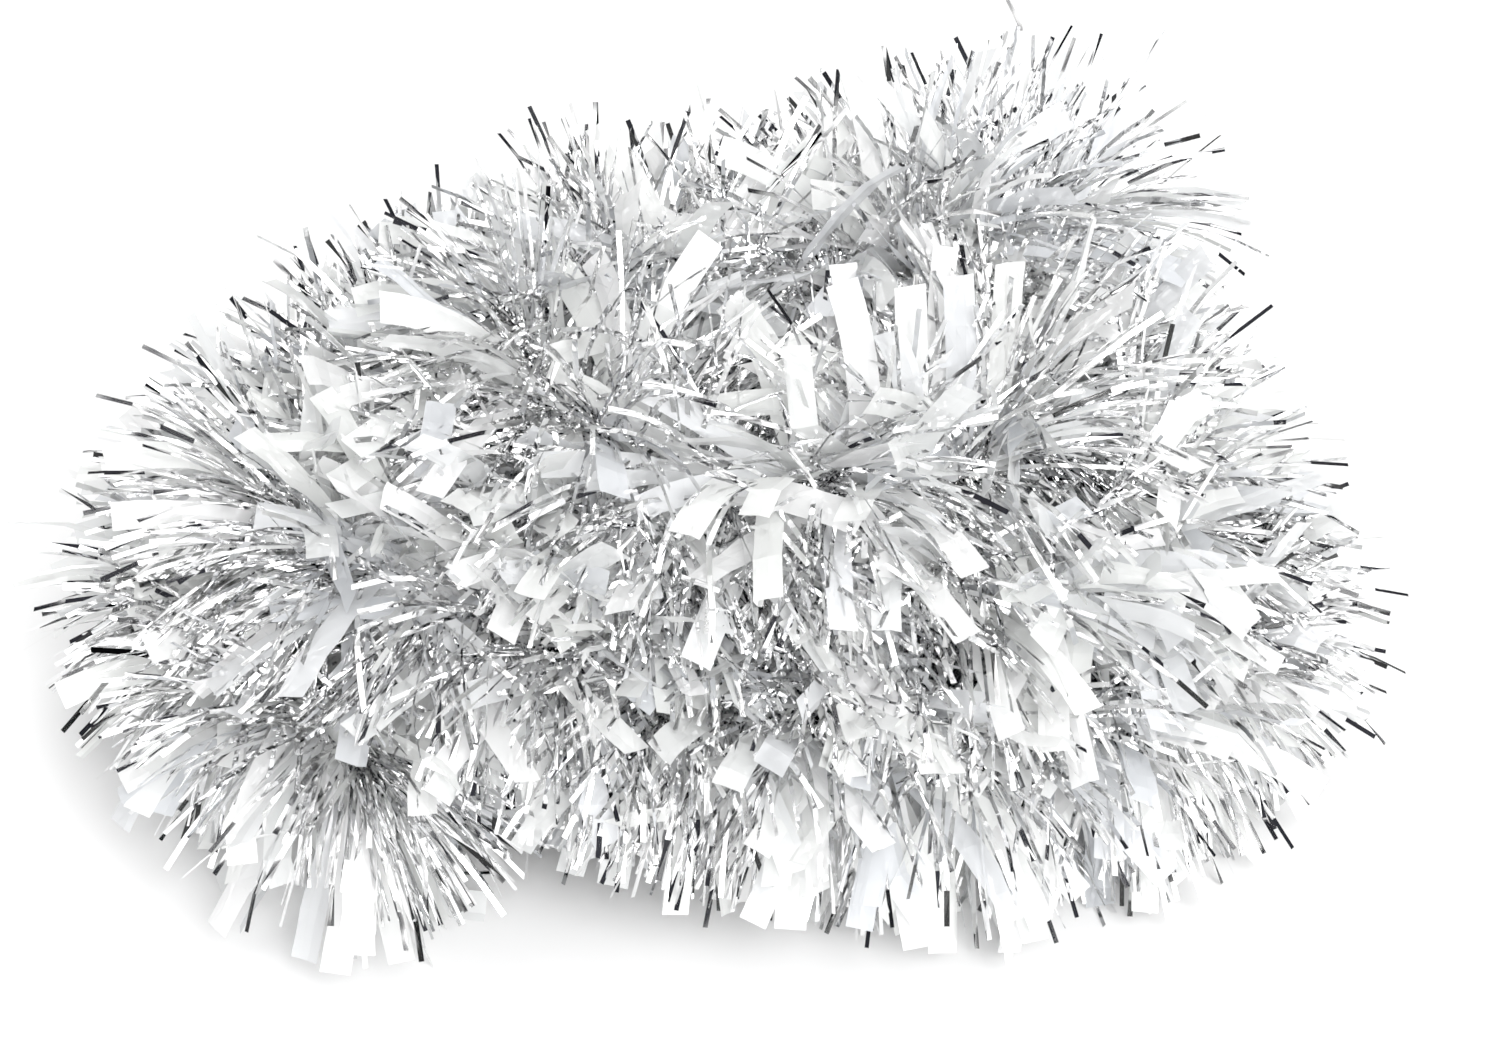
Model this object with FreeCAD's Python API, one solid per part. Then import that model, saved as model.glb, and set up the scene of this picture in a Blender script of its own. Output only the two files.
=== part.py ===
"""A tinsel boa lying in a loose coil: a twisted core, narrow silver strips and wide pearl film strips.

Millimetres, +Z up, +X to the right, -Y to the front.  The origin is on the surface that the boa lies on,
under the middle of the pile.  One end lies at the front left, the other end lies on top at the back right.
"""
import FreeCAD, Part
import math
import os

Vector = FreeCAD.Vector

# Driving dimensions.
CORE_DIAMETER = 3.0
FRINGE_RADIUS = 50.0            # how far the strips stand out from the core
FILM_STRIP_WIDTH = 6.4
FILM_STRIP_THICKNESS = 0.2
FILM_STRIPS_PER_STAR = 6
SLICE_LENGTH = 31.0             # a stretch of silver fringe, along the core
SLICE_GAP = 8.0                 # between two stretches, where a star of film strips stands
SLICES_PER_NODE = 2
OUTLINE_SIDES = 16              # corners of a stretch's outline
BINDING_DIAMETER = 5.0
BINDING_LENGTH = 9.0
BINDING_OVERHANG = 1.5          # how far the binding's closed end stands past the core's tip
STAR_TURN_DEG = 23.0            # each star of film strips is turned this much from the one before
TUFT_LENGTH = 26.0              # how far the strips spray past each end of the core

# Clearances.
CORE_CLEARANCE = 0.2            # between the core and the fringe round it
PASS_CLEARANCE = 0.6            # from the surface halfway to a neighbouring turn
BODY_CLEARANCE = 2.4            # the same, where the neighbour belongs to another body
BEND_SHARE = 0.82               # fringe inside a bend reaches this share of the way to the bend's centre
OTHER_PASS_DISTANCE = 95.0      # points this far apart along the core belong to different passes
FLEX_GAP = 2.0                  # gap in the core's solid where an end flexes

# How far each free end moves.
FRONT_SWING_DEG = 40.0
REAR_LIFT_DEG = 45.0

# The coil: it starts at the left and runs clockwise as seen from above.  All the places below are
# moved by ORIGIN_SHIFT, which puts the origin under the middle of the whole pile.
ORIGIN_SHIFT = (0.85, -9.22, 0.0)
START_ANGLE_DEG = 186.0
POINTS_PER_TURN = 18
COIL_TURNS = 3.26
# turns from the start, half width, half depth, height, centre x, centre y
RINGS = (
    (0.00, 130.0, 64.0, 44.0, 0.0, 0.0),
    (0.35, 127.0, 66.0, 40.0, 2.0, 2.0),
    (0.68, 131.0, 65.0, 40.0, 0.0, -2.0),
    (0.87, 112.0, 52.0, 83.0, -2.0, -2.0),
    (1.05, 106.0, 53.0, 78.0, -3.0, 0.0),
    (1.30, 105.0, 55.0, 71.0, 0.0, 2.0),
    (1.65, 106.0, 53.0, 73.0, 2.0, -2.0),
    (1.87, 76.0, 34.0, 92.0, 0.0, 0.0),
    (2.04, 76.0, 38.0, 93.0, -3.0, 3.0),
    (2.27, 72.0, 39.0, 96.0, 2.0, 4.0),
    (2.52, 70.0, 38.0, 99.0, 4.0, 2.0),
    (2.77, 68.0, 38.0, 104.0, 6.0, 0.0),
    (2.89, 52.0, 30.0, 115.0, 6.0, 0.0),
    (3.04, 52.0, 29.0, 116.0, 4.0, 0.0),
    (3.30, 48.0, 27.0, 119.0, 4.0, 1.0),
)
# The end at the front left, from its tip to the coil.
FRONT_END_POINTS = (
    (-86.0, -73.0, 46.0),
    (-97.0, -58.0, 47.0),
    (-110.0, -41.0, 47.0),
    (-122.0, -21.0, 46.0),
)
# The end on top, from the coil to its tip.
REAR_END_POINTS = (
    (28.0, 35.0, 121.0),
    (49.0, 47.0, 119.0),
    (67.0, 62.0, 112.0),
    (83.0, 77.0, 106.0),
    (97.0, 88.0, 103.0),
)
FRONT_FLEX = 92.0               # from the front tip to where that end flexes, along the core
REAR_FLEX = 96.0                # from the rear tip to where that end flexes


def ring_at(turn):
    """Half width, half depth, height and centre of the coil at a number of turns from its start."""
    for first, second in zip(RINGS, RINGS[1:]):
        if turn <= second[0]:
            share = (turn - first[0]) / (second[0] - first[0])
            blend = share * share * (3 - 2 * share)
            return [a + blend * (b - a) for a, b in zip(first[1:], second[1:])]
    return list(RINGS[-1][1:])


def coil_point(turn):
    """A point of the core, a number of turns from the start of the coil."""
    half_width, half_depth, height, centre_x, centre_y = ring_at(turn)
    angle = math.radians(START_ANGLE_DEG - 360 * turn)
    across = math.cos(angle)
    longer = across * (1.5 - 0.5 * across * across)
    x = centre_x + half_depth * across + (half_width - half_depth) * longer
    y = centre_y + half_depth * math.sin(angle)
    return (x, y, height)


def route_points():
    """The core's route, from the front tip to the rear tip."""
    turns = round(COIL_TURNS * POINTS_PER_TURN)
    coil = [coil_point(i / POINTS_PER_TURN) for i in range(turns + 1)]
    places = list(FRONT_END_POINTS) + coil + list(REAR_END_POINTS)
    return [Vector(*place) + Vector(*ORIGIN_SHIFT) for place in places]


def rounded_path(points):
    """Straight runs joined by tangent arcs, and the arcs' radii."""
    edges, radii = [], []
    last = points[0]
    for before, corner, after in zip(points, points[1:], points[2:]):
        run_in, run_out = corner - before, after - corner
        turn = run_in.getAngle(run_out)
        reach = 0.45 * min(run_in.Length, run_out.Length)
        radii.append(reach / math.tan(turn / 2))
        start = corner - Vector(run_in).normalize() * reach
        end = corner + Vector(run_out).normalize() * reach
        towards = ((start + end) * 0.5 - corner).normalize()
        middle = corner + towards * (radii[-1] / math.cos(turn / 2) - radii[-1])
        edges.append(Part.LineSegment(last, start).toShape())
        edges.append(Part.Arc(start, middle, end).toShape())
        last = end
    edges.append(Part.LineSegment(last, points[-1]).toShape())
    return edges, radii


class Route:
    """The core's centreline by length, with the frame of its cross-section at each place."""

    STEP = 2.0

    def __init__(self, edges):
        wire = Part.Wire(edges)
        self.length = wire.Length
        self.count = int(self.length / self.STEP)
        self.spacing = self.length / self.count
        self.points = wire.discretize(Number=self.count + 1)

    def at(self, place):
        share = min(max(place / self.spacing, 0.0), self.count - 1e-6)
        index = int(share)
        return self.points[index] + (self.points[index + 1] - self.points[index]) * (share - index)

    def along(self, place):
        """The core's direction, which stays that of its end past either tip."""
        place = min(max(place, 4.0), self.length - 4.0)
        return (self.at(place + 4) - self.at(place - 4)).normalize()

    def frame(self, place):
        """Centre, tangent, the upward direction across the core and the sideways one."""
        tangent = self.along(place)
        up = Vector(0, 0, 1) - tangent * tangent.z
        up.normalize()
        return self.at(place), tangent, up, tangent.cross(up)

    def bend(self, place, reach=14.0):
        """A vector towards the bend's centre, whose length is one over the bend's radius."""
        ahead, behind = self.along(place + reach), self.along(place - reach)
        return (ahead - behind) * (0.5 / reach)


def fringe_reach(route, place, direction, past=0.0):
    """How far the fringe reaches from the core in one direction before it meets a turn or the surface.

    past is how far beyond the core's tip the outline stands, along the core's last direction.
    """
    centre = route.at(place) + route.along(place) * past
    far = FRINGE_RADIUS
    if direction.z < 0:
        far = min(far, centre.z / -direction.z)
    skip = int(OTHER_PASS_DISTANCE / route.spacing)
    here = int(place / route.spacing)
    own, others = [], []
    for index in range(0, route.count + 1, 2):
        point = route.points[index]
        apart = (point - centre).Length
        if abs(index - here) <= skip:
            if abs(index - here) > 2 and past == 0.0:
                own.append((point, (1 - BEND_SHARE) * apart * apart))
        elif apart < 2 * far + 6:
            other_body = any((place < flex) != (index * route.spacing < flex) for flex in flexes)
            others.append((point, BODY_CLEARANCE if other_body else PASS_CLEARANCE))

    def free(reach):
        tip = centre + direction * reach
        return (all((tip - point).Length - reach > 2 * gap for point, gap in others)
                and all((tip - point).Length ** 2 > reach * reach + spare for point, spare in own))

    if free(far):
        return far
    low, high = 0.0, far
    for _ in range(9):
        middle = (low + high) / 2
        if free(middle):
            low = middle
        else:
            high = middle
    return low


def outline(route, place, scale=1.0, past=0.0, lean=None):
    """Centre and corners of the fringe's outline across the core at one place.

    lean is (closing side, signed tangent of the lean, gap): the outline's half on the closing side leans
    along the core, so that the strand can flex that way.
    """
    centre, tangent, up, side = route.frame(place)
    centre = centre + tangent * past
    corners = []
    for index in range(OUTLINE_SIDES):
        angle = 2 * math.pi * index / OUTLINE_SIDES
        direction = up * math.cos(angle) + side * math.sin(angle)
        reach = fringe_reach(route, place, direction, past) * scale
        corner = centre + direction * reach
        if lean is not None:
            closing, slope, gap = lean
            corner += tangent * (slope * max(0.0, direction.dot(closing)) * reach + gap)
        corner.z = max(corner.z, 0.0)
        corners.append(corner)
    return (centre + tangent * lean[2] if lean else centre), corners


def triangle(a, b, c):
    """A flat three-sided face, or nothing where two corners meet."""
    if (b - a).cross(c - a).Length < 1e-4:
        return None
    return Part.Face(Part.makePolygon([a, b, c, a]))


def lofted(sections):
    """A closed solid through sections, each a centre and its ring of corners, with a fan of faces at each end."""
    rings = [ring for _, ring in sections]
    faces = []
    for first, second in zip(rings, rings[1:]):
        for i in range(len(first)):
            j = (i + 1) % len(first)
            faces.append(triangle(first[i], first[j], second[j]))
            faces.append(triangle(first[i], second[j], second[i]))
    for centre, ring in (sections[0], sections[-1]):
        for i in range(len(ring)):
            faces.append(triangle(centre, ring[i], ring[(i + 1) % len(ring)]))
    shell = Part.Shell([face for face in faces if face is not None])
    shell.sewShape()
    solid = Part.Solid(shell)
    if solid.Volume < 0:
        solid.reverse()
    return solid


def tube(route_edges, diameter):
    """A round tube along straight runs and arcs."""
    path = Part.Wire(route_edges)
    first = route_edges[0]
    start = first.Vertexes[0].Point
    section = Part.Wire(Part.Circle(start, first.tangentAt(first.FirstParameter), diameter / 2).toShape())
    return path.makePipeShell([section], True, False)


def cut_path(edges, start, end):
    """The part of a path between two lengths along it."""
    kept, passed = [], 0.0
    for edge in edges:
        low, high = max(start - passed, 0.0), min(end - passed, edge.Length)
        if high - low > 1e-3:
            first = edge.getParameterByLength(low)
            last = edge.getParameterByLength(high)
            kept.append(edge.Curve.toShape(first, last))
        passed += edge.Length
    return kept


def star(route, place, turn_deg):
    """Wide film strips that stand out round the core in the gap between two stretches of fringe."""
    centre, tangent, up, side = route.frame(place)
    bend = route.bend(place)
    strips = []
    for index in range(FILM_STRIPS_PER_STAR):
        angle = math.radians(turn_deg) + 2 * math.pi * index / FILM_STRIPS_PER_STAR
        direction = up * math.cos(angle) + side * math.sin(angle)
        across = tangent.cross(direction)
        reach = fringe_reach(route, place, direction) - 2.0
        narrowing = bend.dot(direction)
        if narrowing > 0:
            reach = min(reach, (1 - (FILM_STRIP_WIDTH + 0.5) / SLICE_GAP) / narrowing)
        root = CORE_DIAMETER / 2 + 1.2
        if reach < root + 10:
            continue
        half_width = tangent * (FILM_STRIP_WIDTH / 2)
        half_thickness = across * (FILM_STRIP_THICKNESS / 2)
        near = centre + direction * root
        corners = [near - half_width - half_thickness, near + half_width - half_thickness,
                   near + half_width + half_thickness, near - half_width + half_thickness]
        base = Part.Face(Part.makePolygon(corners + corners[:1]))
        strips.append(base.extrude(direction * (reach - root)))
    return strips


def save(name, solids):
    shape = solids[0] if len(solids) == 1 else Part.makeCompound(solids)
    shape.exportStep("parts/" + name + ".step")
    box = shape.BoundBox
    print("%-26s %3d solids %9.0f mm3  z %.1f to %.1f" % (name, len(solids), shape.Volume, box.ZMin, box.ZMax))
    return shape


def stretches(start, end):
    """Start and end of each stretch of fringe between two places, with a gap after each but the last."""
    count = round((end - start + SLICE_GAP) / (SLICE_LENGTH + SLICE_GAP))
    pitch = (end - start + SLICE_GAP) / count
    starts = [start + i * pitch for i in range(count)]
    ends = [next_start - SLICE_GAP for next_start in starts[1:]] + [end]
    return list(zip(starts, ends))


def tuft(route, tip, outwards):
    """Outlines of the strips that spray past one tip of the core, from the tip outwards."""
    shapes = ((0.0, 1.0), (0.55, 0.86), (1.0, 0.5))
    return [outline(route, tip, scale, outwards * share * TUFT_LENGTH) for share, scale in shapes]


def fringe_stretch(route, low, high, leans):
    """One stretch of silver fringe as a closed solid round the core."""
    sections = [outline(route, low, lean=leans.get(low)), outline(route, high, lean=leans.get(high))]
    if low == 0.0:
        sections = tuft(route, low, -1)[::-1] + sections[1:]
    elif high == route.length:
        sections = sections[:1] + tuft(route, high, 1)
    elif low not in leans and high not in leans:
        sections.insert(1, outline(route, (low + high) / 2))
    return lofted(sections)


def build_body(name, start, end, leans, first_number):
    """The core, fringe and film strips of one body, between two places along the core."""
    core_start = start + FLEX_GAP / 2 if start in leans else start
    core_end = end - FLEX_GAP / 2 if end in leans else end
    save("core_" + name, [tube(cut_path(edges, core_start, core_end), CORE_DIAMETER)])
    bore = tube(cut_path(edges, start, end), CORE_DIAMETER + 2 * CORE_CLEARANCE)
    for tip, inward in ((0.0, 1), (route.length, -1)):
        if tip in (start, end):
            bore = bore.fuse(binding(tip, inward, BINDING_DIAMETER + 2 * CORE_CLEARANCE, 0.0))
            save("end_binding_" + name.split("_")[0], [binding(tip, inward, BINDING_DIAMETER, CORE_DIAMETER)])
    parts = stretches(start, end)
    for first in range(0, len(parts), SLICES_PER_NODE):
        number = first_number + first // SLICES_PER_NODE
        fringe, film = [], []
        for place, (low, high) in enumerate(parts[first:first + SLICES_PER_NODE], first):
            fringe.append(fringe_stretch(route, low, high, leans).cut(bore))
            if place + 1 < len(parts):
                film += star(route, high + SLICE_GAP / 2, STAR_TURN_DEG * place)
        save("silver_tinsel_%02d" % number, fringe)
        if film:
            save("pearl_strips_%02d" % number, film)
    return number + 1


def binding(tip, inward, outer, inner):
    """The whipped thread round one tip of the core, as a sleeve along the core's last straight run."""
    along = route.along(tip) * inward
    start = route.at(tip) - along * BINDING_OVERHANG
    sleeve = Part.makeCylinder(outer / 2, BINDING_LENGTH, start, along)
    if inner == 0.0:
        return sleeve
    hole = Part.makeCylinder(inner / 2, BINDING_LENGTH - BINDING_OVERHANG, route.at(tip), along)
    return sleeve.cut(hole)


os.makedirs("parts", exist_ok=True)
points = route_points()
edges, radii = rounded_path(points)
route = Route(edges)
runs = [(b - a).Length for a, b in zip(points, points[1:])]
print("length of the core %.0f mm, arc radii %.0f to %.0f mm" % (route.length, min(radii), max(radii)))
print("shortest and longest run %.0f and %.0f mm" % (min(runs), max(runs)))

front_flex = FRONT_FLEX
rear_flex = route.length - REAR_FLEX
flexes = (front_flex, rear_flex)
front_slope = math.tan(math.radians(FRONT_SWING_DEG / 2))
rear_slope = math.tan(math.radians(REAR_LIFT_DEG / 2))
outer_side = route.frame(front_flex)[3] * -1
upper_side = route.frame(rear_flex)[2]

front_leans = {front_flex: (outer_side, -front_slope, -FLEX_GAP / 2)}
coil_leans = {front_flex: (outer_side, front_slope, FLEX_GAP / 2),
              rear_flex: (upper_side, -rear_slope, -FLEX_GAP / 2)}
rear_leans = {rear_flex: (upper_side, rear_slope, FLEX_GAP / 2)}
number = build_body("front_end", 0.0, front_flex, front_leans, 1)
print("the coil starts with number", number)
number = build_body("coil", front_flex, rear_flex, coil_leans, number)
print("the rear end starts with number", number)
build_body("rear_end", rear_flex, route.length, rear_leans, number)

for name, place in (("front flex", front_flex), ("rear flex", rear_flex)):
    centre, tangent, up, side = route.frame(place)
    print(name, "at", [round(c, 1) for c in centre], "across", [round(c, 3) for c in side])
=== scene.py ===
"""Looks of a tinsel boa that lies in a loose coil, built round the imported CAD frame.

Metres, +Z up, -Y to the front.  The core grips about 9200 narrow silver strips and 1400 wide pearl film
strips near their middles.  Each arm of a strip is grown one short step at a time: it stands out, is pushed
aside by the neighbouring turns, droops and comes to rest on the floor.
"""
import math

import bpy
import numpy as np
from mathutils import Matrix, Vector


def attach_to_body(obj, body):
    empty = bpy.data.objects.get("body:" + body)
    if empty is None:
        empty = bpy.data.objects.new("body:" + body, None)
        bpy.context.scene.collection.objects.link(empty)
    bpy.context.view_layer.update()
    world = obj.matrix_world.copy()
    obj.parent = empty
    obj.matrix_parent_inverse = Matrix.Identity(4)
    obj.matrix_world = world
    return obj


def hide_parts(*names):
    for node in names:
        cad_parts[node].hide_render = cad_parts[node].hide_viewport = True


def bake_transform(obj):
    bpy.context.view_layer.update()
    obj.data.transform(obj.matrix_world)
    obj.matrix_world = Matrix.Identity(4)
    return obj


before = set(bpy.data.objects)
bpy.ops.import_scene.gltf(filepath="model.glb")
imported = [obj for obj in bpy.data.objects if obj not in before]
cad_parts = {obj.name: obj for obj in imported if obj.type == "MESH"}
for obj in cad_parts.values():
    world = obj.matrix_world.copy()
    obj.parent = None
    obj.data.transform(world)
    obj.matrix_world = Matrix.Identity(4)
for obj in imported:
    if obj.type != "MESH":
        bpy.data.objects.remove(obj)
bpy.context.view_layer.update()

MM = 0.001

# The core's route, as in part.py, in millimetres.
START_ANGLE_DEG = 186.0
POINTS_PER_TURN = 18
COIL_TURNS = 3.26
ORIGIN_SHIFT = (0.85, -9.22, 0.0)
# turns from the start, half width, half depth, height, centre x, centre y
RINGS = (
    (0.00, 130.0, 64.0, 44.0, 0.0, 0.0),
    (0.35, 127.0, 66.0, 40.0, 2.0, 2.0),
    (0.68, 131.0, 65.0, 40.0, 0.0, -2.0),
    (0.87, 112.0, 52.0, 83.0, -2.0, -2.0),
    (1.05, 106.0, 53.0, 78.0, -3.0, 0.0),
    (1.30, 105.0, 55.0, 71.0, 0.0, 2.0),
    (1.65, 106.0, 53.0, 73.0, 2.0, -2.0),
    (1.87, 76.0, 34.0, 92.0, 0.0, 0.0),
    (2.04, 76.0, 38.0, 93.0, -3.0, 3.0),
    (2.27, 72.0, 39.0, 96.0, 2.0, 4.0),
    (2.52, 70.0, 38.0, 99.0, 4.0, 2.0),
    (2.77, 68.0, 38.0, 104.0, 6.0, 0.0),
    (2.89, 52.0, 30.0, 115.0, 6.0, 0.0),
    (3.04, 52.0, 29.0, 116.0, 4.0, 0.0),
    (3.30, 48.0, 27.0, 119.0, 4.0, 1.0),
)
FRONT_END_POINTS = (
    (-86.0, -73.0, 46.0),
    (-97.0, -58.0, 47.0),
    (-110.0, -41.0, 47.0),
    (-122.0, -21.0, 46.0),
)
REAR_END_POINTS = (
    (28.0, 35.0, 121.0),
    (49.0, 47.0, 119.0),
    (67.0, 62.0, 112.0),
    (83.0, 77.0, 106.0),
    (97.0, 88.0, 103.0),
)
FRONT_FLEX = 92.0 * MM          # from the front tip to where that end flexes, along the core
REAR_FLEX = 96.0 * MM
SLICE_LENGTH = 31.0 * MM        # the CAD fringe's stretches, two to a node
SLICE_GAP = 8.0 * MM
SLICES_PER_NODE = 2

CORE_DIAMETER = 3.0 * MM
FLEX_REACH = 15.0 * MM          # the strand bends over this length each side of a flex

rng = np.random.default_rng(7)


# ---------------------------------------------------------------- vectors

def unit(vectors):
    """Vectors scaled to length 1."""
    return vectors / np.maximum(np.linalg.norm(vectors, axis=-1, keepdims=True), 1e-12)


def eased(share):
    """A share from 0 to 1 that starts and ends gently."""
    return share * share * (3 - 2 * share)


def upright(tangents):
    """The upward direction across these tangents, and the sideways one."""
    up = np.zeros_like(tangents)
    up[..., 2] = 1
    up = unit(up - tangents * tangents[..., 2:3])
    return up, np.cross(tangents, up)


def round_about(up, side, angles):
    """Directions across a line, at these angles from its upward direction."""
    return up * np.cos(angles)[:, None] + side * np.sin(angles)[:, None]


def turned(vectors, axes, angles):
    """Vectors turned about unit axes."""
    cos, sin = np.cos(angles)[:, None], np.sin(angles)[:, None]
    along = (vectors * axes).sum(1, keepdims=True)
    return vectors * cos + np.cross(axes, vectors) * sin + axes * along * (1 - cos)


def square_to(vectors, axes):
    """Unit vectors nearest to these that are square to unit axes."""
    return unit(vectors - axes * (vectors * axes).sum(1, keepdims=True))


def running_length(lines):
    """Length from the start of each line to each of its points."""
    steps = np.linalg.norm(np.diff(lines, axis=-2), axis=-1)
    return np.concatenate([np.zeros_like(steps[..., :1]), np.cumsum(steps, -1)], -1)


def resampled(path, spacing):
    """The same path with its points at about this spacing."""
    run = running_length(path)
    places = np.linspace(0, run[-1], int(run[-1] / spacing) + 1)
    return np.stack([np.interp(places, run, path[:, i]) for i in range(3)], 1)


# ---------------------------------------------------------------- the core's route

def ring_at(turn):
    """Half width, half depth, height and centre of the coil at a number of turns from its start."""
    for first, second in zip(RINGS, RINGS[1:]):
        if turn <= second[0]:
            share = (turn - first[0]) / (second[0] - first[0])
            blend = eased(share)
            return [a + blend * (b - a) for a, b in zip(first[1:], second[1:])]
    return list(RINGS[-1][1:])


def coil_point(turn):
    """A point of the core, a number of turns from the start of the coil."""
    half_width, half_depth, height, centre_x, centre_y = ring_at(turn)
    angle = math.radians(START_ANGLE_DEG - 360 * turn)
    across = math.cos(angle)
    longer = across * (1.5 - 0.5 * across * across)
    x = centre_x + half_depth * across + (half_width - half_depth) * longer
    y = centre_y + half_depth * math.sin(angle)
    return (x, y, height)


def route_points():
    """Control points of the core, from the front tip to the rear tip."""
    turns = round(COIL_TURNS * POINTS_PER_TURN)
    coil = [coil_point(i / POINTS_PER_TURN) for i in range(turns + 1)]
    places = list(FRONT_END_POINTS) + coil + list(REAR_END_POINTS)
    return [tuple((c + d) * MM for c, d in zip(place, ORIGIN_SHIFT)) for place in places]


def spline_samples(points):
    """Points along the smooth spline that has these control points."""
    curve = bpy.data.curves.new("core_route", "CURVE")
    curve.dimensions = "3D"
    spline = curve.splines.new("NURBS")
    spline.points.add(len(points) - 1)
    for control, point in zip(spline.points, points):
        control.co = (*point, 1.0)
    spline.order_u = 3
    spline.use_endpoint_u = True
    spline.resolution_u = 10
    holder = bpy.data.objects.new("core_route", curve)
    mesh = bpy.data.meshes.new_from_object(holder)
    samples = np.array([v.co for v in mesh.vertices])
    bpy.data.objects.remove(holder)
    bpy.data.curves.remove(curve)
    bpy.data.meshes.remove(mesh)
    return samples


class Core:
    """The core's centreline, by length from the front tip."""

    SPACING = 2.0 * MM

    def __init__(self, samples):
        lengths = running_length(samples)
        self.length = lengths[-1]
        self.places = np.linspace(0, self.length, int(self.length / self.SPACING) + 1)
        self.points = np.stack([np.interp(self.places, lengths, samples[:, i]) for i in range(3)], 1)
        self.tangents = unit(np.gradient(self.points, axis=0))

    def sampled(self, values, place):
        """Values of the core's points, read between them at a place."""
        return np.stack([np.interp(place, self.places, values[:, i]) for i in range(3)], -1)

    def at(self, place):
        """The centreline's point at a place."""
        return self.sampled(self.points, place)

    def frame(self, place):
        """Centre, tangent, the upward direction across the core and the sideways one."""
        tangent = unit(self.sampled(self.tangents, place))
        return self.at(place), tangent, *upright(tangent)

    def between(self, start, end):
        """The centreline's points between two places."""
        inside = (self.places > start) & (self.places < end)
        return np.concatenate([[self.at(start)], self.points[inside], [self.at(end)]])


core = Core(spline_samples(route_points()))
rear_flex = core.length - REAR_FLEX
FLEXES = (("front_end", "coil", FRONT_FLEX), ("coil", "rear_end", rear_flex))


# ---------------------------------------------------------------- camera

def add_camera():
    """The main view: from the front, looking down."""
    target = Vector((0.008, -0.004, 0.062))
    elevation = math.radians(38)
    distance = 0.85
    camera = bpy.data.objects.new("camera", bpy.data.cameras.new("camera"))
    bpy.context.scene.collection.objects.link(camera)
    away = Vector((0, -math.cos(elevation), math.sin(elevation)))
    camera.location = target + away * distance
    camera.rotation_euler = (-away).to_track_quat("-Z", "Y").to_euler()
    camera.data.lens = 78.0
    bpy.context.scene.camera = camera


# ---------------------------------------------------------------- materials

# Colours of the strips, from a strip with the lowest shade number, 0, to one with the highest, 1.
SILVER_COLOURS = (
    (0.0, (0.89, 0.895, 0.905)),
    (0.5, (0.92, 0.92, 0.925)),
    (1.0, (0.95, 0.95, 0.945)),
)
FILM_COLOURS = (
    (0.0, (0.62, 0.645, 0.68)),
    (0.18, (0.75, 0.765, 0.785)),
    (0.5, (0.83, 0.845, 0.825)),
    (1.0, (0.90, 0.90, 0.905)),
)
SILVER_ROUGHNESS = (0.03, 0.12)
FILM_CLEARNESS = 0.22           # how much of the film is see-through
FIBRE_SHADOW = 0.72             # painted shade: a cord's colour between its fibres, as a share of the colour on them
FIBRE_FINENESS = 2600.0         # cells of the fibres' noise to the metre


def new_material(name):
    """A material with its nodes, links and shader."""
    material = bpy.data.materials.new(name)
    material.use_nodes = True
    nodes, links = material.node_tree.nodes, material.node_tree.links
    shader = nodes["Principled BSDF"]
    return material, nodes, links, shader


def ramp(nodes, stops):
    """A colour ramp with a colour at each of these places."""
    node = nodes.new("ShaderNodeValToRGB")
    while len(node.color_ramp.elements) < len(stops):
        node.color_ramp.elements.new(0.5)
    for element, (place, colour) in zip(node.color_ramp.elements, stops):
        element.position = place
        element.color = (*colour, 1.0)
    return node


def noise(nodes, links, vector, scale, detail, stretch=(1, 1, 1)):
    """Smooth noise over a vector, scaled differently in each direction by stretch."""
    mapping = nodes.new("ShaderNodeMapping")
    mapping.inputs["Scale"].default_value = stretch
    links.new(vector, mapping.inputs["Vector"])
    node = nodes.new("ShaderNodeTexNoise")
    node.inputs["Scale"].default_value = scale
    node.inputs["Detail"].default_value = detail
    links.new(mapping.outputs["Vector"], node.inputs["Vector"])
    return node


def strip_noise(nodes, links, detail, stretch):
    """Noise in millimetres across and along each strip."""
    strip = nodes.new("ShaderNodeUVMap")
    strip.uv_map = "strip"
    return noise(nodes, links, strip.outputs["UV"], scale=1.0, detail=detail, stretch=stretch)


def add_bump(nodes, links, shader, height, strength, distance):
    """Raises and lowers a shader's surface by a noise."""
    bump = nodes.new("ShaderNodeBump")
    bump.inputs["Strength"].default_value = strength
    bump.inputs["Distance"].default_value = distance
    links.new(height.outputs["Fac"], bump.inputs["Height"])
    links.new(bump.outputs["Normal"], shader.inputs["Normal"])


def colour_strips(nodes, links, shader, stops):
    """Gives each strip a colour of its own, and returns the shade number that chooses it."""
    shade = nodes.new("ShaderNodeAttribute")
    shade.attribute_name = "shade"
    colours = ramp(nodes, stops)
    links.new(shade.outputs["Fac"], colours.inputs["Fac"])
    links.new(colours.outputs["Color"], shader.inputs["Base Color"])
    return shade.outputs["Fac"]


def silver_film():
    """Narrow strips: metallised film, mirror bright, slightly rippled."""
    material, nodes, links, shader = new_material("silver_tinsel")
    shader.inputs["Metallic"].default_value = 1.0
    ripples = strip_noise(nodes, links, detail=0.0, stretch=(0.25, 0.13, 1))
    add_bump(nodes, links, shader, ripples, strength=0.25, distance=0.4 * MM)
    shade = colour_strips(nodes, links, shader, SILVER_COLOURS)
    rough = nodes.new("ShaderNodeMapRange")
    rough.inputs["To Min"].default_value, rough.inputs["To Max"].default_value = SILVER_ROUGHNESS
    links.new(shade, rough.inputs["Value"])
    links.new(rough.outputs["Result"], shader.inputs["Roughness"])
    return material


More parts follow.
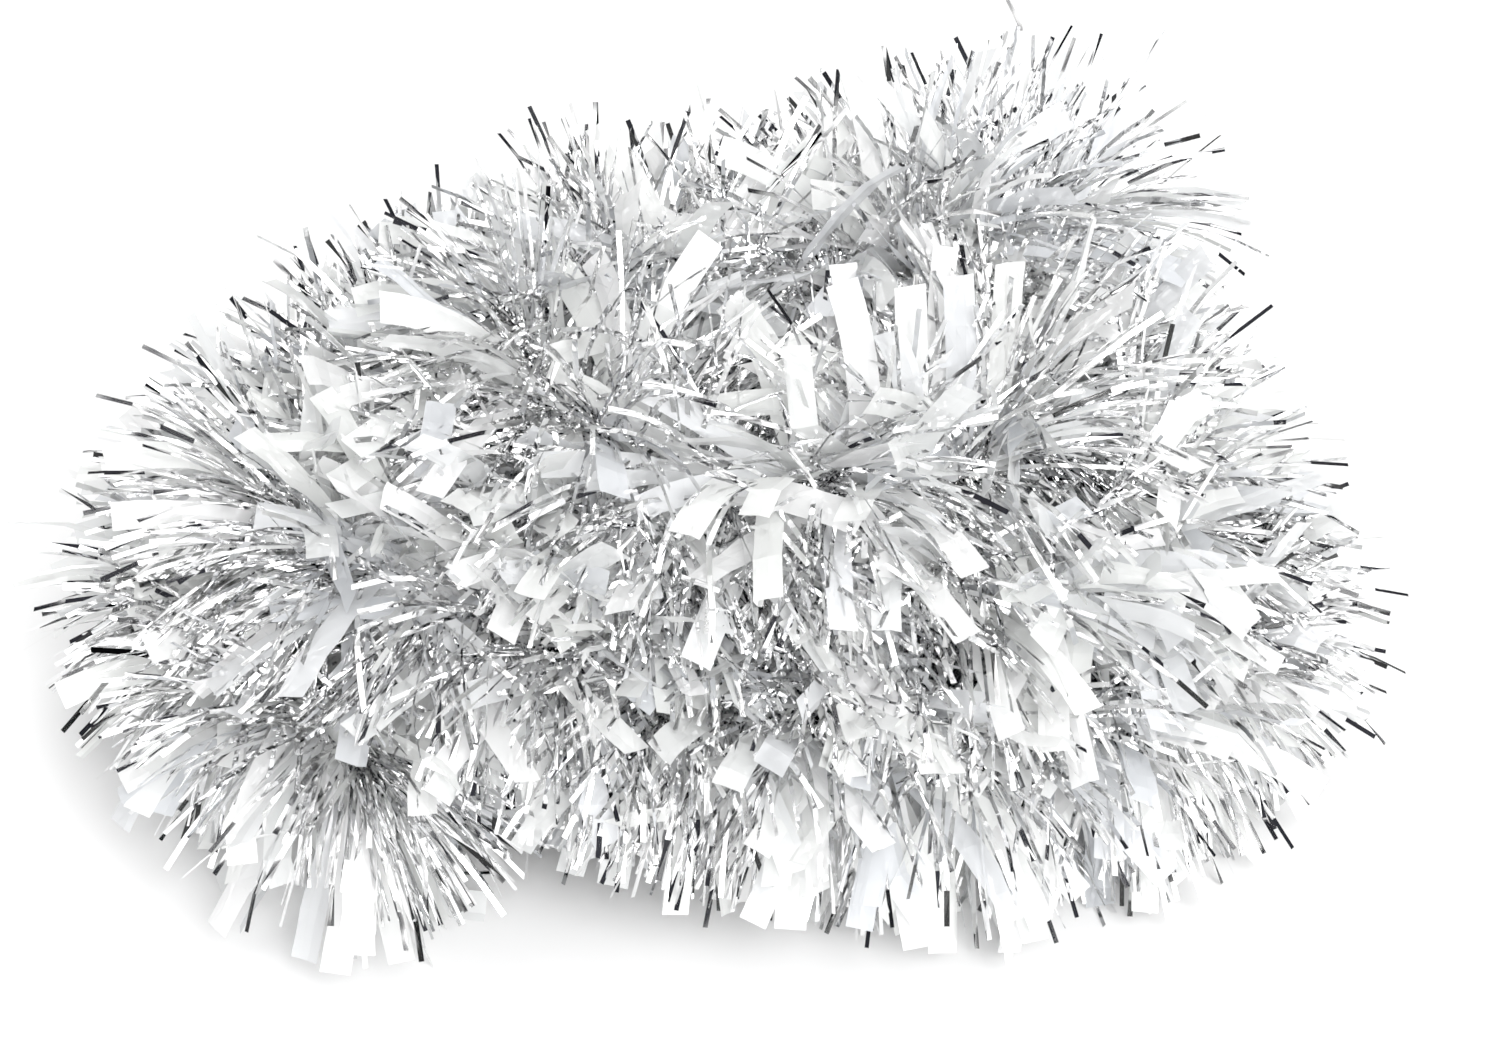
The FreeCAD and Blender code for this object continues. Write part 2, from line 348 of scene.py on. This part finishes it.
def pearl_film():
    """Wide strips: pearl-white film, softly glossy and slightly see-through."""
    material, nodes, links, shader = new_material("pearl_film")
    shader.inputs["Coat Weight"].default_value = 0.4
    shader.inputs["Coat Roughness"].default_value = 0.15
    shader.inputs["Roughness"].default_value = 0.4
    colour_strips(nodes, links, shader, FILM_COLOURS)
    crumple = strip_noise(nodes, links, detail=2.0, stretch=(0.16, 0.11, 1))
    add_bump(nodes, links, shader, crumple, strength=0.4, distance=1.2 * MM)
    clear = nodes.new("ShaderNodeBsdfTransparent")
    mix = nodes.new("ShaderNodeMixShader")
    mix.inputs["Fac"].default_value = FILM_CLEARNESS
    links.new(shader.outputs["BSDF"], mix.inputs[1])
    links.new(clear.outputs["BSDF"], mix.inputs[2])
    links.new(mix.outputs["Shader"], nodes["Material Output"].inputs["Surface"])
    return material


def cord_fibre(name, light):
    """Twisted or whipped thread, with a fine fibrous bump and painted shade in the hollows between the
    fibres.
    """
    material, nodes, links, shader = new_material(name)
    where = nodes.new("ShaderNodeTexCoord")
    fibres = noise(nodes, links, where.outputs["Object"], scale=FIBRE_FINENESS, detail=4.0)
    # Painted shade: the colour is darker where the fibre noise, which also sets the bump's height, is low, in
    # the hollows between the fibres.
    dark = tuple(c * FIBRE_SHADOW for c in light)
    colours = ramp(nodes, ((0.3, dark), (0.7, light)))
    links.new(fibres.outputs["Fac"], colours.inputs["Fac"])
    links.new(colours.outputs["Color"], shader.inputs["Base Color"])
    add_bump(nodes, links, shader, fibres, strength=0.5, distance=0.2 * MM)
    shader.inputs["Roughness"].default_value = 0.75
    shader.inputs["Sheen Weight"].default_value = 0.3
    return material


# ---------------------------------------------------------------- meshes

# Each ribbon takes the next place in a surface pattern that starts again after its size, in millimetres.
PATTERN_STEP = 17.31
PATTERN_SLANT = 3.7
PATTERN_SIZE = (977, 1013)


def strip_uv(rows):
    """UVs in millimetres across and along each ribbon, each ribbon at its own place in the pattern."""
    count, _, across, _ = rows.shape
    run = running_length(rows.mean(2))
    wide = np.linalg.norm(rows[:, :, -1] - rows[:, :, 0], axis=2)
    u = (np.linspace(-0.5, 0.5, across)[None, None, :] * wide[:, :, None]) / MM
    v = np.repeat(run[:, :, None], across, 2) / MM
    offsets = np.arange(count)[:, None, None] * PATTERN_STEP
    aside = offsets % PATTERN_SIZE[0]
    onward = (offsets * PATTERN_SLANT) % PATTERN_SIZE[1]
    return np.stack([u + aside, v + onward], -1).reshape(-1, 2)


def grid_mesh(name, rows, material, shade=None, smooth=False):
    """One mesh of ribbons.  rows is (ribbons, points along, points across, 3)."""
    count, along, across, _ = rows.shape
    index = np.arange(count * along * across).reshape(count, along, across)
    corners = (index[:, :-1, :-1], index[:, :-1, 1:], index[:, 1:, 1:], index[:, 1:, :-1])
    quads = np.stack(corners, -1).reshape(-1, 4)
    mesh = bpy.data.meshes.new(name)
    mesh.vertices.add(index.size)
    mesh.vertices.foreach_set("co", rows.astype(np.float32).ravel())
    mesh.loops.add(quads.size)
    mesh.loops.foreach_set("vertex_index", quads.astype(np.int32).ravel())
    mesh.polygons.add(len(quads))
    mesh.polygons.foreach_set("loop_start", np.arange(0, quads.size, 4, dtype=np.int32))
    mesh.polygons.foreach_set("use_smooth", np.full(len(quads), smooth))
    mesh.update(calc_edges=True)
    layer = mesh.uv_layers.new(name="strip")
    layer.data.foreach_set("uv", strip_uv(rows)[quads.ravel()].astype(np.float32).ravel())
    if shade is not None:
        attribute = mesh.attributes.new("shade", "FLOAT", "POINT")
        attribute.data.foreach_set("value", np.repeat(shade, along * across).astype(np.float32))
    mesh.materials.append(material)
    piece = bpy.data.objects.new(name, mesh)
    bpy.context.scene.collection.objects.link(piece)
    return piece


# ---------------------------------------------------------------- how the strips grow

OWN_TURN = 90.0 * MM            # nearer than this along the core is the same turn
FAR_SQUARE = 1.0                # the square of a distance that is longer than the heap
POINTS_AT_ONCE = 4000

# A strip that would point into a neighbouring turn is turned at its root.
ROOT_TRIALS = (0.85, 0.5, 0.85, 0.5, 0.85)      # where along the strip that is tried, as shares of its length
ROOT_FREE_DEPTH = 5 * MM        # it may reach this far into the neighbour before it is turned at all
ROOT_FULL_DEPTH = 20 * MM       # and this much further until it is turned fully
ROOT_AWAY = 0.26
ROOT_SIDEWAYS = 0.30

# Further out, each step is pushed away from a neighbouring turn, in the same way.
STEP_FREE_DEPTH = 9 * MM
STEP_FULL_DEPTH = 16 * MM
STEP_AWAY = 2.5

ROOT_RADIUS = CORE_DIAMETER * 0.35
FIRST_KINK_STEP = 2
KINK_RANGE = 4                  # its step is drawn from this many times the steps: one strip in five has it
KINK_ANGLE = 0.6                # radians
STEEPEST_RISE = 0.9             # how steeply at most a step turns up to stay above the floor
FLIP_SHARE = 0.75               # how often a zigzag changes sides from one point to the next
ZIGZAG_DEPTHS = (0.3, 1.0)      # shares of its full depth


def smooth_noise(generator, place, angle, spacing, cells):
    """Noise from about -1 to 1 that varies smoothly along the core and round it."""
    rows = int(core.length / spacing) + 3
    grid = generator.uniform(-1, 1, (rows, cells))
    x = place / spacing
    y = (angle / (2 * math.pi) * cells) % cells
    x0, y0 = np.floor(x).astype(int), np.floor(y).astype(int)
    fx, fy = eased(x - x0), eased(y - y0)
    x0 = np.clip(x0, 0, rows - 2)
    y0, y1 = y0 % cells, (y0 + 1) % cells
    low = grid[x0, y0] * (1 - fy) + grid[x0, y1] * fy
    high = grid[x0 + 1, y0] * (1 - fy) + grid[x0 + 1, y1] * fy
    return low * (1 - fx) + high * fx


def nearest_other(points, places):
    """Distance and direction to each point from the nearest place on another turn of the core."""
    every = 2                   # points of the centreline; closer ones would add nothing
    samples, sample_places = core.points[::every], core.places[::every]
    distance = np.empty(len(points))
    away = np.empty_like(points)
    for start in range(0, len(points), POINTS_AT_ONCE):
        part = slice(start, start + POINTS_AT_ONCE)
        gap = points[part, None, :] - samples[None, :, :]
        square = (gap ** 2).sum(2)
        own = np.abs(places[part, None] - sample_places[None, :]) < OWN_TURN
        square[own] = FAR_SQUARE
        best = square.argmin(1)
        rows = np.arange(len(best))
        distance[part] = np.sqrt(square[rows, best])
        away[part] = gap[rows, best]
    return distance, unit(away)


def clear_of_turns(centre, direction, sideways, places, lengths):
    """Directions turned so that strips of these lengths point out between the neighbouring turns.

    The strips there are pressed over sideways, too, and lie across the pile.
    """
    for share in ROOT_TRIALS:
        tip = centre + direction * (lengths * share)[:, None]
        distance, away = nearest_other(tip, places)
        inside = np.clip((lengths * share - distance - ROOT_FREE_DEPTH) / ROOT_FULL_DEPTH, 0, 1)[:, None]
        direction = unit(direction + (away * ROOT_AWAY + sideways * ROOT_SIDEWAYS) * inside)
    return direction


def kept_above(direction, point, stride, floor_gap):
    """Directions raised so that a step ends no lower than the floor gap, if it can rise that fast."""
    lowest = (floor_gap - point[:, 2]) / stride[:, 0]
    direction[:, 2] = np.maximum(direction[:, 2], np.minimum(lowest, STEEPEST_RISE))
    return unit(direction)


def grow(generator, roots, lengths, steps, curl, sag, droop, floor_gap):
    """Centrelines of strips that grow from the core, as (strips, steps + 1, 3).

    steps holds the steps' shares of a strip.  curl is how far a strip curves, sag how far it leans down from
    its root on, droop how much more it leans with each step, and floor_gap the least height of the line.
    """
    places, angles, leans, tilts = roots
    count = len(places)
    centre, tangent, up, side = core.frame(places)
    radial = round_about(up, side, angles)
    around = np.cross(tangent, radial)
    direction = unit(radial * (np.cos(leans) * np.cos(tilts))[:, None] + tangent * np.sin(leans)[:, None]
                     + around * np.sin(tilts)[:, None])
    direction[:, 2] -= sag
    sideways = tangent * np.sign(leans)[:, None]
    direction = clear_of_turns(centre, unit(direction), sideways, places, lengths)
    point = centre + radial * ROOT_RADIUS
    bend_axis = unit(np.cross(direction, generator.normal(size=direction.shape)))
    bend = generator.normal(size=count) * curl
    kink_step = generator.integers(FIRST_KINK_STEP, len(steps) * KINK_RANGE, count)
    kink = generator.normal(size=count) * KINK_ANGLE
    line = [point]
    grown = 0.0
    for step, share in enumerate(steps):
        stride = (lengths * share)[:, None]
        grown += share
        direction = turned(direction, bend_axis, bend * share + np.where(kink_step == step, kink, 0))
        reach = point + direction * stride
        distance, away = nearest_other(reach, places)
        own = np.linalg.norm(reach - centre, axis=1)
        push = np.clip((own - distance - STEP_FREE_DEPTH) / STEP_FULL_DEPTH, 0, 1)[:, None]
        direction = unit(direction + away * push * STEP_AWAY * share)
        direction[:, 2] -= droop * grown * share * len(steps)
        direction = kept_above(unit(direction), point, stride, floor_gap)
        point = point + direction * stride
        point[:, 2] = np.maximum(point[:, 2], floor_gap)
        line.append(point)
    return np.stack(line, 1)


def root_widths(generator, roots, spread):
    """Strips lie flat where the core grips them, so their width runs along the core, give or take."""
    places, angles, _, _ = roots
    _, tangent, up, side = core.frame(places)
    return turned(tangent, round_about(up, side, angles), generator.normal(size=len(places)) * spread)


def ribbon_rows(generator, lines, widths, wide, profile, twists, zigzags):
    """Ribbons along lines.

    wide is each ribbon's width direction at its root, profile its section as (across, out of plane) shares of
    the width, twists and zigzags how far each point turns about the ribbon and stands out of its line.
    """
    count, along, _ = lines.shape
    directions = unit(np.gradient(lines, axis=1))
    rows = np.empty((count, along, profile.shape[1], 3))
    sign = generator.choice([-1.0, 1.0], count)
    for step in range(along):
        direction = directions[:, step]
        wide = turned(square_to(wide, direction), direction, generator.normal(size=count) * twists[step])
        normal = np.cross(direction, wide)
        sign = np.where(generator.uniform(size=count) < FLIP_SHARE, -sign, sign)
        out = (sign * generator.uniform(*ZIGZAG_DEPTHS, count) * zigzags[step])[:, None]
        middle = lines[:, step] + normal * out
        width = widths[:, step]
        for column in range(profile.shape[1]):
            across = (profile[:, column, 0] * width)[:, None]
            lift = (profile[:, column, 1] * width)[:, None]
            rows[:, step, column] = middle + wide * across + normal * lift
    return rows


# ---------------------------------------------------------------- where the strips sprout

END_MARGIN = 0.5 * MM
OPPOSITE_SPREAD = 0.25          # how far a strip's two arms are from opposite, in radians
END_SPRAY = 28 * MM             # nearer than this to a tip of the core, the strips lean out past the tip
END_LEAN = 1.0                  # radians, at the tip itself

# The strips part into fans: how strongly, over what length along the core and in how many cells round it.
PARTING = (0.42, 38 * MM)
ANGLE_PATTERN = (0.35, 12 * MM, 9)
BROAD_LEAN_PATTERN = (0.62, 20 * MM, 7)
FINE_LEAN_PATTERN = (0.38, 8 * MM, 13)
TILT_PATTERN = (0.45, 17 * MM, 6)

# Strips are longer and shorter by turns along the core, by this share and over this length.
FULLNESS_CHANGE = 0.05
FULLNESS_LENGTH = 30 * MM
# Where the heap is fuller or thinner than its strands: middle, radius and what it adds to the strips, in mm.
FULLER = (
    ((100.0, 25.0, 73.0), 40.0, 12.0),
    ((115.0, -45.0, 40.0), 42.0, -8.0),
)


def sprout(generator, per_metre, disorder):
    """Places, angles, leans and tilts of the arms of strips that are gripped near their middle.

    A lean is along the core and a tilt round it.  Both vary smoothly, with some disorder on top.
    """
    strips = int(core.length * per_metre)
    place = np.sort(generator.uniform(END_MARGIN, core.length - END_MARGIN, strips))
    angle = generator.uniform(0, 2 * math.pi, strips)
    other = angle + math.pi + generator.normal(size=strips) * OPPOSITE_SPREAD
    place, angle = np.concatenate([place, place]), np.concatenate([angle, other])
    arms = len(place)

    def pattern(strength, spacing, cells):
        return strength * smooth_noise(generator, place, angle, spacing, cells)

    strength, spacing = PARTING
    parting = smooth_noise(generator, place, np.zeros(arms), spacing, 1) * 2 * math.pi
    angle = angle + strength * np.sin(2 * angle + parting) + pattern(*ANGLE_PATTERN)
    lean = pattern(*BROAD_LEAN_PATTERN)
    lean += pattern(*FINE_LEAN_PATTERN) + generator.normal(size=arms) * disorder
    tilt = pattern(*TILT_PATTERN) + generator.normal(size=arms) * disorder
    lean -= END_LEAN * np.clip(1 - place / END_SPRAY, 0, 1)
    lean += END_LEAN * np.clip(1 - (core.length - place) / END_SPRAY, 0, 1)
    return place, angle, lean, tilt


def fullness(generator, place, length, spread):
    """Lengths of strips, with fuller and thinner stretches along the core."""
    stretches = 1 + FULLNESS_CHANGE * smooth_noise(generator, place, np.zeros(len(place)), FULLNESS_LENGTH, 1)
    lengths = length * stretches + generator.normal(size=len(place)) * spread
    root = core.at(place)
    for middle, radius, extra in FULLER:
        apart = np.linalg.norm(root - np.array(middle) * MM, axis=1) / (radius * MM)
        lengths = lengths + extra * MM * np.exp(-apart ** 2)
    return lengths


# ---------------------------------------------------------------- the fringe

def node_spans():
    """Start and end along the core of each numbered CAD node, with the body it belongs to."""
    spans = []
    for body, start, end in (("front_end", 0.0, FRONT_FLEX), ("coil", FRONT_FLEX, rear_flex),
                             ("rear_end", rear_flex, core.length)):
        count = round((end - start + SLICE_GAP) / (SLICE_LENGTH + SLICE_GAP))
        pitch = (end - start + SLICE_GAP) / count
        for first in range(0, count, SLICES_PER_NODE):
            last = min(first + SLICES_PER_NODE, count)
            spans.append((start + first * pitch, end if last == count else start + last * pitch, body))
    return spans


def attach(piece, body, low, high):
    """Lets a piece ride on its body; a piece near where the strand flexes rides on no body and has its
    transform baked into its mesh.
    """
    for first, second, place in FLEXES:
        if low < place + FLEX_REACH and high > place - FLEX_REACH:
            _, tangent, _, _ = core.frame(np.array([place]))
            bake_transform(piece)
            return
    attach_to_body(piece, body)


def add_fringe(prefix, cad_prefix, place, rows, material):
    """Splits a fringe's ribbons into one piece for each stretch of the core."""
    shade = rng.uniform(size=len(place))
    for number, (low, high, body) in enumerate(node_spans(), 1):
        chosen = (place >= low) & (place < high)
        piece = grid_mesh("%s_%02d" % (prefix, number), rows[chosen], material, shade[chosen])
        attach(piece, body, low, high)
        cad_node = "%s_%02d" % (cad_prefix, number)
        if cad_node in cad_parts:
            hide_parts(cad_node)


# Shares of a silver strip's length for its steps, which are short where it is crimped, near the core, and how
# much it is crimped at each point between them.
SILVER_STEPS = np.array([0.045, 0.05, 0.055, 0.06, 0.07, 0.10, 0.13, 0.15, 0.16, 0.18])
SILVER_CRIMP = np.array([0.0, 0.5, 0.5, 0.45, 0.35, 0.22, 0.12, 0.08, 0.07, 0.06, 0.06])
CRIMP_TWIST = 0.9               # radians, at full crimp
CRIMP_DEPTH_MM = 1.1
SILVER_PER_METRE = 5300
SILVER_LENGTH = 51 * MM
SILVER_WIDTH_MM = (1.1, 1.45)
LENGTH_SPREAD = 2.5 * MM
STRAGGLER_SHARE = 0.06          # this share of the silver strips is longer than the rest
STRAGGLER_EXTRA = 5 * MM
SILVER_LOWEST = 0.3 * MM        # above the floor


def add_silver(material):
    """Narrow strips: flat ribbons, crimped and twisted near the core."""
    roots = sprout(rng, SILVER_PER_METRE, disorder=0.30)
    place = roots[0]
    count = len(place)
    lengths = fullness(rng, place, SILVER_LENGTH, LENGTH_SPREAD)
    lengths = lengths + np.where(rng.uniform(size=count) < STRAGGLER_SHARE, STRAGGLER_EXTRA, 0)
    lines = grow(rng, roots, lengths, SILVER_STEPS, curl=0.2, sag=0.26, droop=0.09, floor_gap=1.2 * MM)
    widths = np.repeat(rng.uniform(*SILVER_WIDTH_MM, count)[:, None] * MM, lines.shape[1], 1)
    flat = np.array([(-0.5, 0.0), (0.5, 0.0)])
    profile = np.repeat(flat[None], count, 0)
    twists = SILVER_CRIMP * CRIMP_TWIST
    zigzags = SILVER_CRIMP * CRIMP_DEPTH_MM * MM
    zigzags[-1] = 0.0
    wide = root_widths(rng, roots, spread=0.8)
    rows = ribbon_rows(rng, lines, widths, wide, profile, twists, zigzags)
    rows[..., 2] = np.maximum(rows[..., 2], SILVER_LOWEST)
    add_fringe("tinsel_bundle", "silver_tinsel", place, rows, material)


# Shares of a film strip's length for its steps, and how far it twists and leaves its line at each point.
FILM_STEPS = np.array([0.07, 0.08, 0.10, 0.12, 0.13, 0.13, 0.13, 0.12, 0.12])
FILM_TWISTS = np.array([0.0, 0.2, 0.12, 0.08, 0.06, 0.06, 0.06, 0.06, 0.06, 0.05])
FILM_ZIGZAGS = np.array([0.0, 0.3, 0.3, 0.3, 0.3, 0.35, 0.35, 0.35, 0.3, 0.0]) * MM
FILM_PER_METRE = 790
FILM_LENGTH = 54 * MM
FILM_WIDTH_MM = (7.0, 7.9)
FILM_ROOT_WIDTH = 0.22          # share of its width that a film strip is gathered to at the core
FILM_WIDENING = 5.0             # a film strip has its full width from one fifth of its length on
CREASE_REACH = 0.3              # how far from the middle a crease may run, as a share of the width
CREASE_DEPTH = 0.05
CREASE_FADE = 0.45              # what is left of the crease's depth halfway to the edge
CREASE_WAVER = 0.01
FILM_LOWEST = 0.4 * MM


def film_profile(generator, count):
    """Sections of film strips, each shallowly folded along a crease at a place of its own."""
    crease = generator.uniform(-CREASE_REACH, CREASE_REACH, count)
    fold = generator.normal(size=count) * CREASE_DEPTH
    profile = np.zeros((count, 4, 2))
    profile[:, 0, 0] = -0.5
    profile[:, 1, 0] = crease
    profile[:, 2, 0] = (crease + 0.5) / 2
    profile[:, 3, 0] = 0.5
    profile[:, 1, 1] = fold
    profile[:, 2, 1] = fold * CREASE_FADE + generator.normal(size=count) * CREASE_WAVER
    return profile


def add_film(material):
    """Wide strips: creased ribbons, gathered where the core grips them."""
    roots = sprout(rng, FILM_PER_METRE, disorder=0.55)
    place = roots[0]
    count = len(place)
    lengths = fullness(rng, place, FILM_LENGTH, LENGTH_SPREAD)
    lines = grow(rng, roots, lengths, FILM_STEPS, curl=0.25, sag=0.36, droop=0.09, floor_gap=3.0 * MM)
    full = rng.uniform(*FILM_WIDTH_MM, count)[:, None] * MM
    grown = np.concatenate([[0], np.cumsum(FILM_STEPS)])
    widths = full * np.clip(grown * FILM_WIDENING, FILM_ROOT_WIDTH, 1)[None, :]
    profile = film_profile(rng, count)
    wide = root_widths(rng, roots, spread=0.5)
    rows = ribbon_rows(rng, lines, widths, wide, profile, FILM_TWISTS, FILM_ZIGZAGS)
    rows[..., 2] = np.maximum(rows[..., 2], FILM_LOWEST)
    add_fringe("film_bundle", "pearl_strips", place, rows, material)


# ---------------------------------------------------------------- the core and its bindings

PLY_RADIUS = 0.85 * MM
PLY_OFFSET = 0.62 * MM          # from the core's middle to a ply's
PLY_LAY = 9 * MM                # a ply winds once round the core in this length
SEAM_MARGIN = 6 * MM            # from where the strand stops bending to the next piece of the core

BINDING_TURNS = 9
BINDING_RADIUS = 2.0 * MM
BINDING_START = -1.2 * MM       # from the tip, inward; the thread starts beyond the tip and closes over it
BINDING_END = 7.2 * MM
BINDING_CLOSING = 1.6 * MM
CLOSED_SHARE = 0.15
THREAD_RADIUS = 0.45 * MM
POINTS_PER_THREAD_TURN = 24


def ply_rows(path, tangents, radius, offset, lay, phase, sides):
    """The surface of one ply that winds round a path, as rows of rings."""
    up, side = upright(tangents)
    angle = phase + 2 * math.pi * running_length(path) / lay
    centre = path + round_about(up, side, angle) * offset
    along = unit(np.gradient(centre, axis=0))
    out = square_to(up, along)
    across = np.cross(along, out)
    ring = np.linspace(0, 2 * math.pi, sides + 1)
    return (centre[:, None] + radius * (out[:, None] * np.cos(ring)[None, :, None]
                                        + across[:, None] * np.sin(ring)[None, :, None]))


def add_core(material):
    """Two twisted plies, in one piece for each end and one for the coil between them."""
    front_seam = FRONT_FLEX + FLEX_REACH + SEAM_MARGIN
    rear_seam = rear_flex - FLEX_REACH - SEAM_MARGIN
    spans = (
        ("front", 0.0, front_seam, "core_front_end"),
        ("coil", front_seam, rear_seam, "core_coil"),
        ("rear", rear_seam, core.length, "core_rear_end"),
    )
    made = {}
    for name, low, high, node in spans:
        path = resampled(core.between(low, high), spacing=1.0 * MM)
        tangents = unit(np.gradient(path, axis=0))
        plies = [ply_rows(path, tangents, PLY_RADIUS, PLY_OFFSET, PLY_LAY, phase, sides=10)
                 for phase in (0, math.pi)]
        piece = grid_mesh("core_twist_" + name, np.stack(plies), material, smooth=True)
        attach(piece, "coil", low, high)
        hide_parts(node)
        made[name] = (piece, path)
    return made


def add_binding(name, place, inward, material):
    """Whipped thread round one tip of the core."""
    centre, tangent, up, side = (v[0] for v in core.frame(np.array([place])))
    count = BINDING_TURNS * POINTS_PER_THREAD_TURN
    along = np.linspace(BINDING_START, BINDING_END, count)
    angle = np.linspace(0, BINDING_TURNS * 2 * math.pi, count)
    closing = np.clip((along - BINDING_START) / BINDING_CLOSING, CLOSED_SHARE, 1)
    path = (centre + tangent * inward * along[:, None]
            + round_about(up, side, angle) * (BINDING_RADIUS * closing)[:, None])
    tangents = unit(np.gradient(path, axis=0))
    # One thread runs along the path itself, so its lay makes no difference.
    rows = ply_rows(path, tangents, THREAD_RADIUS, offset=0.0, lay=1.0, phase=0.0, sides=8)
    piece = grid_mesh("whipping_" + name, rows[None], material, smooth=True)
    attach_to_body(piece, name + "_end")
    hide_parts("end_binding_" + name)
    return piece


# ---------------------------------------------------------------- studio

FLOOR_HALF = 6
WHITE = (1.0, 1.0, 1.0)
# The tent's light: the direction it mostly comes from, and its strength from the far side and from there.
LIGHT_FROM = (0.25, -0.3, 0.92)
LIGHT_SPREAD = (-0.1, 1.0)
LIGHT_STRENGTH = (0.75, 3.5)
# The tent's gaps: the noise below this level is a gap.
GAP_LEVEL = 0.485
GAP_EDGE = 0.01
GAP_COLOUR = (0.008, 0.008, 0.01)
GAP_FINENESS = 3.2
# A dark patch in the tent, in front and above: its direction, its edge, and the light round it and in it.
PATCH_FROM = (-0.3, -0.72, 0.62)
PATCH_EDGE = (0.925, 0.935)
PATCH_STRENGTH = (1.0, 0.01)


def add_floor():
    """The plain pale floor."""
    material, _, _, shader = new_material("studio_floor")
    shader.inputs["Base Color"].default_value = (0.95, 0.95, 0.95, 1)
    shader.inputs["Roughness"].default_value = 0.9
    mesh = bpy.data.meshes.new("floor")
    corners = [(x * FLOOR_HALF, y * FLOOR_HALF, 0) for x, y in ((-1, -1), (1, -1), (1, 1), (-1, 1))]
    mesh.from_pydata(corners, [], [(0, 1, 2, 3)])
    mesh.materials.append(material)
    floor = bpy.data.objects.new("floor", mesh)
    bpy.context.scene.collection.objects.link(floor)


def add_area(name, place, target, size, power):
    """A round lamp that shines from a place to a target."""
    lamp = bpy.data.lights.new(name, "AREA")
    lamp.shape = "DISK"
    lamp.size = size
    lamp.energy = power
    holder = bpy.data.objects.new(name, lamp)
    holder.location = place
    holder.rotation_euler = (Vector(target) - Vector(place)).to_track_quat("-Z", "Y").to_euler()
    bpy.context.scene.collection.objects.link(holder)


def add_world():
    """A bright tent with gaps and a dark patch, on a background that is plain white where it is seen itself.

    The mirror strips pick the gaps and the patch up as dark dashes.
    """
    world = bpy.data.worlds.new("studio")
    bpy.context.scene.world = world
    world.use_nodes = True
    nodes, links = world.node_tree.nodes, world.node_tree.links
    background = nodes["Background"]
    where = nodes.new("ShaderNodeTexCoord")
    gaps = nodes.new("ShaderNodeTexNoise")
    gaps.inputs["Scale"].default_value = GAP_FINENESS
    gaps.inputs["Detail"].default_value = 0.0
    links.new(where.outputs["Generated"], gaps.inputs["Vector"])
    tent = ramp(nodes, ((0.0, (0.0, 0.0, 0.0)), (GAP_LEVEL, GAP_COLOUR), (GAP_LEVEL + GAP_EDGE, WHITE),
                        (1.0, WHITE)))
    links.new(gaps.outputs["Fac"], tent.inputs["Fac"])

    def towards(direction, spread, strengths):
        """A strength that changes from the first to the second as the view turns towards a direction.

        spread is where that starts and ends, as dot products of the direction and the view.
        """
        dot = nodes.new("ShaderNodeVectorMath")
        dot.operation = "DOT_PRODUCT"
        dot.inputs[1].default_value = direction
        links.new(where.outputs["Generated"], dot.inputs[0])
        fall = nodes.new("ShaderNodeMapRange")
        fall.inputs["From Min"].default_value, fall.inputs["From Max"].default_value = spread
        fall.inputs["To Min"].default_value, fall.inputs["To Max"].default_value = strengths
        links.new(dot.outputs["Value"], fall.inputs["Value"])
        return fall.outputs["Result"]

    light = towards(LIGHT_FROM, LIGHT_SPREAD, LIGHT_STRENGTH)
    patch = towards(PATCH_FROM, PATCH_EDGE, PATCH_STRENGTH)
    strength = nodes.new("ShaderNodeMath")
    strength.operation = "MULTIPLY"
    links.new(light, strength.inputs[0])
    links.new(patch, strength.inputs[1])
    path = nodes.new("ShaderNodeLightPath")
    seen = nodes.new("ShaderNodeMix")
    seen.data_type = "RGBA"
    # Sockets 6 and 7 are the two colours of a Mix node, and output 2 is their mix.
    links.new(path.outputs["Is Camera Ray"], seen.inputs[0])
    links.new(tent.outputs["Color"], seen.inputs[6])
    seen.inputs[7].default_value = (*WHITE, 1)
    links.new(seen.outputs[2], background.inputs["Color"])
    links.new(strength.outputs["Value"], background.inputs["Strength"])


def add_studio():
    """Floor, lamp, tent and plain colours."""
    add_floor()
    add_area("key", place=(0.35, -0.95, 0.95), target=(0, 0, 0.08), size=0.8, power=15)
    add_world()
    view = bpy.context.scene.view_settings
    view.view_transform = "Standard"
    view.exposure = -0.2
    view.gamma = 1.34


# ---------------------------------------------------------------- build

add_camera()
cord = cord_fibre("core_cord", (0.86, 0.87, 0.88))
thread = cord_fibre("binding_thread", (0.92, 0.92, 0.92))
made = add_core(cord)
for end, place, inward in (("front", 0.0, 1), ("rear", core.length, -1)):
    binding = add_binding(end, place, inward, thread)
    piece, path = made[end]
    path = path[::-1] if end == "front" else path
piece, path = made["coil"]
add_silver(silver_film())
add_film(pearl_film())
add_studio()
